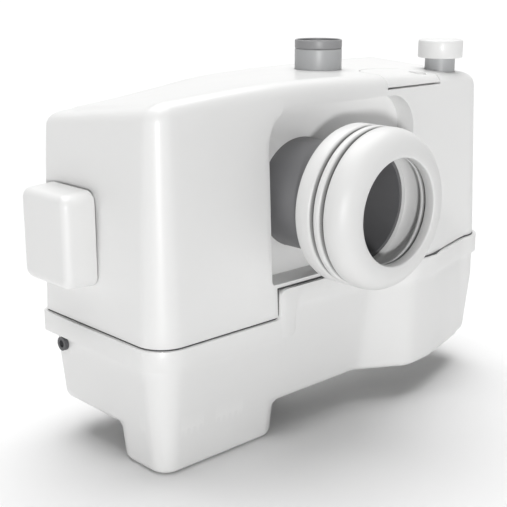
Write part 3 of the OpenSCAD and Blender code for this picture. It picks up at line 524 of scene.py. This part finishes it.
def housing_loft(name, wall, z_low):
    """Outer form of the housing, or its inner form where a wall is given."""
    inset, edge_r = HOUSING_INSET + wall, TOP_EDGE_R - wall
    tops = [crown(*plan_point(spot, inset, rear=REAR_R)) - wall for spot in SPOTS]
    def draft(z):
        return inset + HOUSING_DRAFT * (z - LOW_Z) / (CROWN_TOP - LOW_Z)
    rings = []
    for k in range(SIDE_STEPS + 1):
        ring = []
        for spot, top in zip(SPOTS, tops):
            z = lerp(z_low, top - edge_r, k / SIDE_STEPS)
            x, y = plan_point(spot, draft(z), rear=REAR_R)
            ring.append((x, bowed(spot, x, y, inset + max(z - HIGH_Z, 0.0) * BOW_LEAN), z))
        rings.append(ring)
    for k in range(1, EDGE_STEPS + 1):
        a = math.radians(90 * k / EDGE_STEPS)
        ring = []
        for spot, top in zip(SPOTS, tops):
            drawn_in = draft(top - edge_r) + edge_r * (1 - math.cos(a))
            x, y = plan_point(spot, drawn_in, rear=REAR_R)
            ring.append((x, y, top - edge_r + edge_r * math.sin(a)))
        rings.append(ring)
    edge = rings[-1]
    for share in TOP_SHARES:
        ring = []
        for x, y, _ in edge:
            ridge_x = min(max(x, -RIDGE_HALF_W), RIDGE_HALF_W)
            nx, ny = lerp(x, ridge_x, share), lerp(y, 0.0, share)
            ring.append((nx, ny, crown(nx, ny) - wall))
        rings.append(ring)
    obj = from_mesh(name, *loft(rings))
    work = bmesh.new()
    work.from_mesh(obj.data)
    bmesh.ops.triangulate(work, faces=[face for face in work.faces if len(face.verts) > MOST_CORNERS])
    work.to_mesh(obj.data)
    work.free()
    return obj


def bay_prism(name, grow):
    x0, x1, z0, z1 = BAY_X0 - grow, BAY_X1 + grow, BAY_Z0 - grow, BAY_Z1 + grow
    top_r = BAY_TOP_R + grow
    shape = rounded([(x0, z0), (x1, z0), (x1, z1), (x0, z1)], [BAY_FOOT_R, BAY_FOOT_R, top_r, top_r],
                    BAY_STEPS)
    return extruded(name, shape, -FAR, BAY_Y + grow)


def pad(grow, x0):
    """The vent box's pad, grown on all sides but the one at x0."""
    half_w, half_h = PAD_HALF_W + grow, PAD_HALF_H + grow
    return box("pad", x0, PAD_X1 + grow, VENT_Y - half_w, VENT_Y + half_w, VENT_Z - half_h, VENT_Z + half_h)


def top_hole(x, y, r, z=HOLE_Z, facets=HOLE_FACETS):
    return rod("hole", (x, y, z), UP, FAR - z, r, facets)


def add_lugs(shell, z):
    for x in LUG_PLACES:
        shape = [(x - LUG_R, LUG_Y - LUG_ROOT), (x + LUG_R, LUG_Y - LUG_ROOT)]
        for k in range(LUG_STEPS + 1):
            a = math.pi * k / LUG_STEPS
            shape.append((x + LUG_R * math.cos(a), LUG_Y + LUG_R * math.sin(a)))
        lug = from_mesh("lug", *loft([[(px, py, height) for px, py in shape] for height in (z, z + LUG_H)]))
        cut(lug, rod("hole", (x, SCREW_HOLE_Y, z - OVER), UP, LUG_H + 2 * OVER, SCREW_HOLE_R,
                     TINY_FACETS))
        combine(shell, lug, "UNION")


def make_housing():
    shell = housing_loft("housing_shell", 0.0, LOW_Z)
    combine(shell, pad(0.0, PAD_X0), "UNION")
    add_lugs(shell, HIGH_Z)
    step = rounded([(STEP_X - GASKET, SPLIT_LOW - BAND), (FAR, SPLIT_LOW - BAND), (FAR, HIGH_Z),
                    (STEP_X - GASKET, HIGH_Z)], [0, 0, 0, SEAM_R], SEAM_STEPS)
    cut(shell, extruded("step", step, -FAR, FAR))
    hollow = housing_loft("hollow", HOUSING_WALL, LOW_Z - HOLLOW_BELOW)
    cut(hollow, bay_prism("bay_wall", HOUSING_WALL),
        top_hole(LID_X, LID_Y, LID_R + HOUSING_WALL, WELL_WALL_Z), pad(-PAD_SKIN, PAD_X0 - OVER))
    cut(shell, hollow, bay_prism("bay", 0.0),
        rod("hole", (INLET_X, BAY_Y - OVER, INLET_Z), BACK, SIDE_CUT, NECK_HOLE_R, WIDE_FACETS),
        top_hole(LID_X, LID_Y, LID_R + WELL_GAP, WELL_Z, WIDE_FACETS),
        top_hole(LID_X, LID_HOLE_Y, LID_HOLE_R),
        top_hole(RISER_X, RISER_Y, RISER_HOLE_R),
        top_hole(CAP_X, CAP_Y, CAP_HOLE_R),
        rod("hole", (-HALF_W - OVER, VENT_Y, VENT_Z), RIGHT, SIDE_CUT, VENT_HOLE_R, MEDIUM_FACETS))
    soften(shell, SHELL_EDGE)
    place(shell, "unit", "shell_plastic", "housing")


def make_lid():
    """Round piece of the housing's own outer form, so that its lip follows the front edge."""
    lid = housing_loft("lid_piece", 0.0, LOW_Z)
    combine(lid, top_hole(LID_X, LID_Y, LID_R - LID_INSET, LID_Z, WIDE_FACETS), "INTERSECT")
    cut(lid, top_hole(LID_X + LID_R / 2, LID_Y, DIMPLE_R, DIMPLE_Z, MEDIUM_FACETS))
    soften(lid, SHELL_EDGE)
    place(lid, "lid", "shell_plastic", "access_lid")


# Tank

# Underside of the belly, its edge radii outside and inside, and the tank's wall
BELLY_Z, BELLY_R, INNER_BELLY_R, TANK_WALL = 27.0, 6.0, 3.0, 3.0
# Inset from the flange, and the further inset at the belly, which begins at a height
TANK_INSET, TANK_DRAFT, DRAFT_Z = 3.0, 5.0, 80.0
TANK_LEVELS = (50.0, 65.0, 80.0, 95.0)
# How far the tank's top stays below the flange's on the right and on the left
TOP_BELOW, LOW_TOP_BELOW = 6.0, 4.0
# Foot and sump: sides at the root, sole's edge radius, and the radius of the hollow root
FOOT, FOOT_SOLE_R, FOOT_FLARE = (-176.0, -62.0, -63.0, -7.0), 6.0, 5.0
SUMP, SUMP_SOLE_R, SUMP_FLARE = (-54.6, 159.4, -9.0, 63.0), 3.0, 0.5
# Their corner radius in plan and their narrowing to the sole
BLOCK_R, SPREAD = 16.0, 2.0
# How far their roots run up inside the belly and widen there
ROOT_RISE, ROOT_OUT = 7.0, 0.66
# Shares of the half width and depth between which a root's flare grows to its full reach
FLARE_X, FLARE_Y = (0.7, 0.95), (0.6, 0.9)
SOLE_STEPS, FLARE_STEPS, BELLY_STEPS = 4, 5, 4
# Pit inside the sump: how far it reaches above the belly's underside, and its sole's edge radius
PIT_RISE, PIT_SOLE_R = 1.0, 2.0
GLAND_HOLE_R = 4.1


def block(name, sides, z0, z1, corner_r, sole_r, flare):
    """Foot block with rounded corners and a rounded sole edge, flared at its right and rear root."""
    x0, x1, y0, y1 = sides
    cx, cy, hw, hd = (x0 + x1) / 2, (y0 + y1) / 2, (x1 - x0) / 2, (y1 - y0) / 2
    levels = []
    for k in range(SOLE_STEPS + 1):
        a = math.radians(90 * k / SOLE_STEPS)
        levels.append((z0 + sole_r * (1 - math.cos(a)), SPREAD + sole_r * (1 - math.sin(a)), 0.0))
    for k in range(FLARE_STEPS + 1):
        a = math.radians(90 * k / FLARE_STEPS)
        z = z1 - flare + flare * math.sin(a)
        levels.append((z, SPREAD * (z1 - z) / (z1 - z0), flare * (1 - math.cos(a))))
    levels.append((z1 + ROOT_RISE, -ROOT_OUT, flare))
    rings = []
    for z, inset, out in levels:
        ring = []
        for spot in SPOTS:
            x, y = plan_point(spot, inset, hw, hd, corner_r)
            x += out * share_between(x / hw, *FLARE_X)
            y += out * share_between(y / hd, *FLARE_Y)
            ring.append((cx + x, cy + y, z))
        rings.append(ring)
    return from_mesh(name, *loft(rings))


def tank_loft(name, wall, z_top, belly_r):
    """Outer form of the tank without its flange, or its inner form where a wall is given."""
    flush = TANK_INSET + wall
    def inset(z):
        return flush + TANK_DRAFT * max(DRAFT_Z - z, 0.0) / (DRAFT_Z - BELLY_Z)
    rings = []
    for k in range(BELLY_STEPS + 1):
        a = math.radians(90 * k / BELLY_STEPS)
        z, drawn_in = BELLY_Z + wall + belly_r * (1 - math.cos(a)), belly_r * (1 - math.sin(a))
        rings.append(body_ring(z, inset(z) + drawn_in, flush + drawn_in))
    for z in TANK_LEVELS + (z_top,):
        rings.append(body_ring(z, inset(z), flush))
    return from_mesh(name, *loft(rings))


def flange_band():
    """Band of the flange, which steps up with the seam."""
    rings = [body_ring(z, 0.0, 0.0, REAR_R) for z in (SPLIT_LOW - BAND - OVER, SPLIT_HIGH + OVER)]
    band = from_mesh("band", *loft(rings))
    low, high, inner_x = SPLIT_LOW - BAND, SPLIT_HIGH - BAND, STEP_X + BAND
    strip = rounded([(-FAR, low), (inner_x, low), (inner_x, high), (FAR, high), (FAR, SPLIT_HIGH),
                     (STEP_X, SPLIT_HIGH), (STEP_X, SPLIT_LOW), (-FAR, SPLIT_LOW)],
                    [0, STEP_OUTER_R, STEP_INNER_R, 0, 0, STEP_OUTER_R, STEP_INNER_R, 0], BAND_STEPS)
    combine(band, extruded("strip", strip, -FAR, FAR), "INTERSECT")
    return band


def make_tank():
    shell = tank_loft("tank_shell", 0.0, SPLIT_HIGH - TOP_BELOW, BELLY_R)
    cut(shell, box("above", -FAR, STEP_X + LOW_TOP_BELOW, -FAR, FAR, SPLIT_LOW - LOW_TOP_BELOW, FAR))
    combine(shell, block("foot", FOOT, 0.0, BELLY_Z, BLOCK_R, FOOT_SOLE_R, FOOT_FLARE), "UNION")
    combine(shell, block("sump", SUMP, 0.0, BELLY_Z, BLOCK_R, SUMP_SOLE_R, SUMP_FLARE), "UNION")
    combine(shell, flange_band(), "UNION")
    add_lugs(shell, SPLIT_HIGH - LUG_H)
    x0, x1, y0, y1 = SUMP
    pit = (x0 + TANK_WALL, x1 - TANK_WALL, y0 + TANK_WALL, y1 - TANK_WALL)
    cut(shell, tank_loft("hollow", TANK_WALL, FAR, INNER_BELLY_R),
        block("pit", pit, TANK_WALL, BELLY_Z + PIT_RISE, BLOCK_R - TANK_WALL, PIT_SOLE_R, SUMP_FLARE),
        rod("hole", (-HALF_W - OVER, GLAND_Y, GLAND_Z), RIGHT, SIDE_CUT, GLAND_HOLE_R, SMALL_FACETS))
    soften(shell, SHELL_EDGE)
    place(shell, "unit", "shell_plastic", "tank")


# Inlet collar

# Radii of the rings, of the flat round the mouth, and the length of the rounded nose
RING_R, FACE_R, NOSE_LEN, NOSE_STEPS = 57.0, 39.8, 15.0, 10
# Sections as (radius, distance from the mouth): lip, one groove from its start, and rear and hollow
COLLAR_LIP = [(37.6, 8.0), (37.6, 1.1), (38.1, 0.3)]
COLLAR_GROOVE = [(RING_R, 0.0), (56.7, 0.9), (55.6, 1.7), (51.0, 2.1), (50.5, 2.6), (50.5, 4.2),
                 (51.0, 4.7), (55.6, 5.1), (56.7, 5.9), (RING_R, 6.8)]
GROOVE_STARTS = (18.2, 27.2)
COLLAR_HOLLOW = [(RING_R, 43.4), (56.2, 45.3), (54.6, 46.0), (41.1, 46.0), (41.1, 31.9), (44.5, 31.9),
                 (46.5, 28.0), (46.5, 14.0), (38.2, 13.0), (38.2, 11.0), (44.5, 10.0)]


def make_collar():
    section = list(COLLAR_LIP)
    for k in range(NOSE_STEPS + 1):
        a = math.radians(90 * k / NOSE_STEPS)
        section.append((FACE_R + (RING_R - FACE_R) * math.sin(a), NOSE_LEN * (1 - math.cos(a))))
    for start in GROOVE_STARTS:
        section += [(r, start + along_axis) for r, along_axis in COLLAR_GROOVE]
    section += COLLAR_HOLLOW
    collar = lathe("inlet_collar_soft", section, (INLET_X, MOUTH_Y, INLET_Z), BACK, COLLAR_FACETS)
    soften(collar, FINE_EDGE, TURNED_ANGLE, COLLAR_SMOOTH_ANGLE)
    place(collar, "unit", "collar_rubber", "inlet_collar")


# Stubs and cap on the top

# Sections as (radius, height) from each piece's foot
OUTLET_Z, OUTLET_EDGE = 257.4, 0.3
OUTLET = [(16.1, 2.6), (16.1, 26.0), (16.4, 26.8), (17.0, 26.8), (17.0, 21.6), (18.4, 21.6), (19.0, 21.0),
          (19.0, 0.0), (10.6, -0.4), (10.6, -9.4), (10.2, -10.0), (8.1, -10.0), (8.1, -1.1), (6.2, -1.1),
          (6.2, 2.6)]
RIM_Z, RIM_EDGE = 279.0, 0.25
RIM = [(17.15, 0.3), (17.15, 6.5), (17.6, 7.0), (18.4, 7.0), (19.0, 6.3), (19.0, 0.5), (18.6, 0.1),
       (17.5, 0.1)]
CAP_Z, CAP_EDGE = 269.0, 0.25
CAP = [(0, 14.6), (14.5, 14.6), (15.2, 15.0), (16.6, 15.0), (18.0, 14.3), (18.5, 13.0), (18.5, 1.0),
       (18.1, 0.2), (17.3, 0.0), (13.4, 0.0), (12.9, 0.6), (12.9, 13.0), (0, 13.0)]


def make_outlet():
    outlet = lathe("outlet_stub", OUTLET, (RISER_X, RISER_Y, OUTLET_Z), UP)
    soften(outlet, OUTLET_EDGE, TURNED_ANGLE)
    place(outlet, "unit", "grey_plastic", "outlet_socket")


def make_rim():
    rim = lathe("outlet_rim", RIM, (RISER_X, RISER_Y, RIM_Z), UP)
    soften(rim, RIM_EDGE, TURNED_ANGLE)
    rim.data.materials.append(finish_material("rim_grey", (0.24, 0.24, 0.245), 0.42, vary=0.08, grain=900))
    place(rim, "unit", "dark_plastic", "outlet_sleeve")


def make_cap():
    cap = lathe("stub_cap", CAP, (CAP_X, CAP_Y, CAP_Z), UP)
    soften(cap, CAP_EDGE, TURNED_ANGLE)
    place(cap, "cap", "shell_plastic", "top_inlet_cap")


# Vent box

# Half its width and height, its corner radius, its root, and where its outer edge's rounding begins.
# The box is drawn in by the taper from its root to there
VENT_HALF_W, VENT_HALF_H, VENT_CORNER_R = 29.0, 34.0, 9.0
VENT_ROOT_X, VENT_EDGE_X, VENT_EDGE_R, VENT_EDGE_STEPS = -181.1, -199.0, 6.0, 6
VENT_TAPER = 1.0
# Rings of the inner form: place and inset
VENT_HOLLOW = [(-180.0, 2.0), (-198.0, 3.0), (-203.0, 7.0)]
# Slots in the rear side: count, pitch, height, the two ends of each, and where the cut begins
SLOTS, SLOT_PITCH, SLOT_H, SLOT_X0, SLOT_X1, SLOT_Y = 6, 7.2, 2.4, -197.1, -189.1, 46.0


def vent_form(name, levels):
    rings = []
    for x, inset in levels:
        ring = []
        for spot in SPOTS:
            y, z = plan_point(spot, inset, VENT_HALF_W, VENT_HALF_H, VENT_CORNER_R)
            ring.append((x, VENT_Y + y, VENT_Z + z))
        rings.append(ring)
    return from_mesh(name, *loft(rings))


def make_vent():
    """Vent box with rounded edges and a row of slots in the side that faces the rear."""
    levels = [(VENT_ROOT_X, 0.0), (VENT_EDGE_X, VENT_TAPER)]
    for k in range(1, VENT_EDGE_STEPS + 1):
        a = math.radians(90 * k / VENT_EDGE_STEPS)
        drawn_in = VENT_TAPER + VENT_EDGE_R * (1 - math.cos(a))
        levels.append((VENT_EDGE_X - VENT_EDGE_R * math.sin(a), drawn_in))
    vent = vent_form("vent_box", levels)
    cut(vent, vent_form("inner", VENT_HOLLOW))
    for k in range(SLOTS):
        z = VENT_Z + (k - (SLOTS - 1) / 2) * SLOT_PITCH
        cut(vent, box("slot", SLOT_X0, SLOT_X1, SLOT_Y, FAR, z - SLOT_H / 2, z + SLOT_H / 2))
    soften(vent, FINE_EDGE)
    place(vent, "unit", "shell_plastic", "vent_cover")


# Plunger's spring

WIRE_R, TURNS, TURN_STEPS, WIRE_SIDES = 0.45, 4, 40, 10


def make_spring():
    """Round wire wound round the plunger."""
    low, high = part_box("plunger_spring")
    centre = (low + high) / 2 / MM
    coil_r = (high.x - low.x) / 2 / MM - WIRE_R
    bottom, top = low.z / MM + WIRE_R, high.z / MM - WIRE_R
    rings = []
    for i in range(TURNS * TURN_STEPS + 1):
        a = 2 * math.pi * i / TURN_STEPS
        z = lerp(bottom, top, i / (TURNS * TURN_STEPS))
        ring = []
        for k in range(WIRE_SIDES):
            b = 2 * math.pi * k / WIRE_SIDES
            r = coil_r + WIRE_R * math.cos(b)
            ring.append((centre.x + r * math.cos(a), centre.y + r * math.sin(a), z + WIRE_R * math.sin(b)))
        rings.append(ring)
    spring = from_mesh("spring_coil", *loft(rings))
    soften(spring, 0.0)
    place(spring, "unit", "steel", "plunger_spring")
    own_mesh(spring)


make_tank()
make_housing()
make_lid()
make_collar()
make_outlet()
make_rim()
make_cap()
make_vent()
make_spring()


# Camera

# The photograph's viewpoint, how far it looks down and is turned in degrees, and its focal length
CAMERA_AT_M, LOOKS_DOWN, TURNED = (-0.5751, -0.5791, 0.3407), 15.3, -43.2
PHOTO_WIDTH_PX, FOCAL_LENGTH_PX, SENSOR_MM = 507.0, 1041.0, 36.0
CLIP_NEAR_M, CLIP_FAR_M = 0.01, 60.0

camera_data = bpy.data.cameras.new("camera")
camera_data.sensor_width = SENSOR_MM
camera_data.lens = SENSOR_MM * FOCAL_LENGTH_PX / PHOTO_WIDTH_PX
camera_data.clip_start = CLIP_NEAR_M
camera_data.clip_end = CLIP_FAR_M
camera = bpy.data.objects.new("camera", camera_data)
camera.location = CAMERA_AT_M
camera.rotation_euler = (math.radians(90 - LOOKS_DOWN), 0.0, math.radians(TURNED))
bpy.context.scene.collection.objects.link(camera)
bpy.context.scene.camera = camera


# Floor, backdrop and lights

FLOOR_HALF_M = 25
# Light that the sky gives, and the backdrop's strength, where 1 is white
DOME, BACKDROP = 0.03, 1.0
# Suns: name, azimuth from the front towards the right, elevation, strength and angle across
SUNS = (("overhead_light", 145, 74, 3.3, 62), ("high_light", -43, 62, 0.4, 40),
        ("corner_light", -43, 2, 1.78, 4))

reach = FLOOR_HALF_M
floor_mesh = bpy.data.meshes.new("floor")
floor_mesh.from_pydata([(-reach, -reach, 0), (reach, -reach, 0), (reach, reach, 0), (-reach, reach, 0)],
                       [], [(0, 1, 2, 3)])
floor_mesh.materials.append(finish_material("floor_paint", (0.86, 0.86, 0.86), 0.75, vary=0.004, grain=60,
                                            bump=0.01, wear=0.0, spec=0.2))
floor = bpy.data.objects.new("floor", floor_mesh)
bpy.context.scene.collection.objects.link(floor)

bpy.context.scene.view_settings.view_transform = "Standard"
world = bpy.data.worlds.new("studio")
bpy.context.scene.world = world
world.use_nodes = True
sky = world.node_tree
dome = sky.nodes["Background"]
dome.inputs["Color"].default_value = WHITE
dome.inputs["Strength"].default_value = DOME
backdrop = sky.nodes.new("ShaderNodeBackground")
backdrop.inputs["Color"].default_value = WHITE
backdrop.inputs["Strength"].default_value = BACKDROP
# Rays that come from the camera, or by way of a glossy or clear surface, meet the white backdrop
ray_kind = sky.nodes.new("ShaderNodeLightPath")
shows_white = ray_kind.outputs["Is Camera Ray"]
for kind in ("Is Glossy Ray", "Is Transmission Ray"):
    either = sky.nodes.new("ShaderNodeMath")
    either.operation = "MAXIMUM"
    sky.links.new(shows_white, either.inputs[0])
    sky.links.new(ray_kind.outputs[kind], either.inputs[1])
    shows_white = either.outputs["Value"]
choice = sky.nodes.new("ShaderNodeMixShader")
sky.links.new(shows_white, choice.inputs["Fac"])
sky.links.new(dome.outputs["Background"], choice.inputs[1])
sky.links.new(backdrop.outputs["Background"], choice.inputs[2])
sky.links.new(choice.outputs["Shader"], sky.nodes["World Output"].inputs["Surface"])

for name, azimuth, elevation, strength, across in SUNS:
    light = bpy.data.lights.new(name, "SUN")
    light.energy = strength
    light.angle = math.radians(across)
    sun = bpy.data.objects.new(name, light)
    bpy.context.scene.collection.objects.link(sun)
    a, e = math.radians(azimuth), math.radians(elevation)
    towards = Vector((math.sin(a) * math.cos(e), -math.cos(a) * math.cos(e), math.sin(e)))
    sun.rotation_euler = (-towards).to_track_quat("-Z", "Y").to_euler()
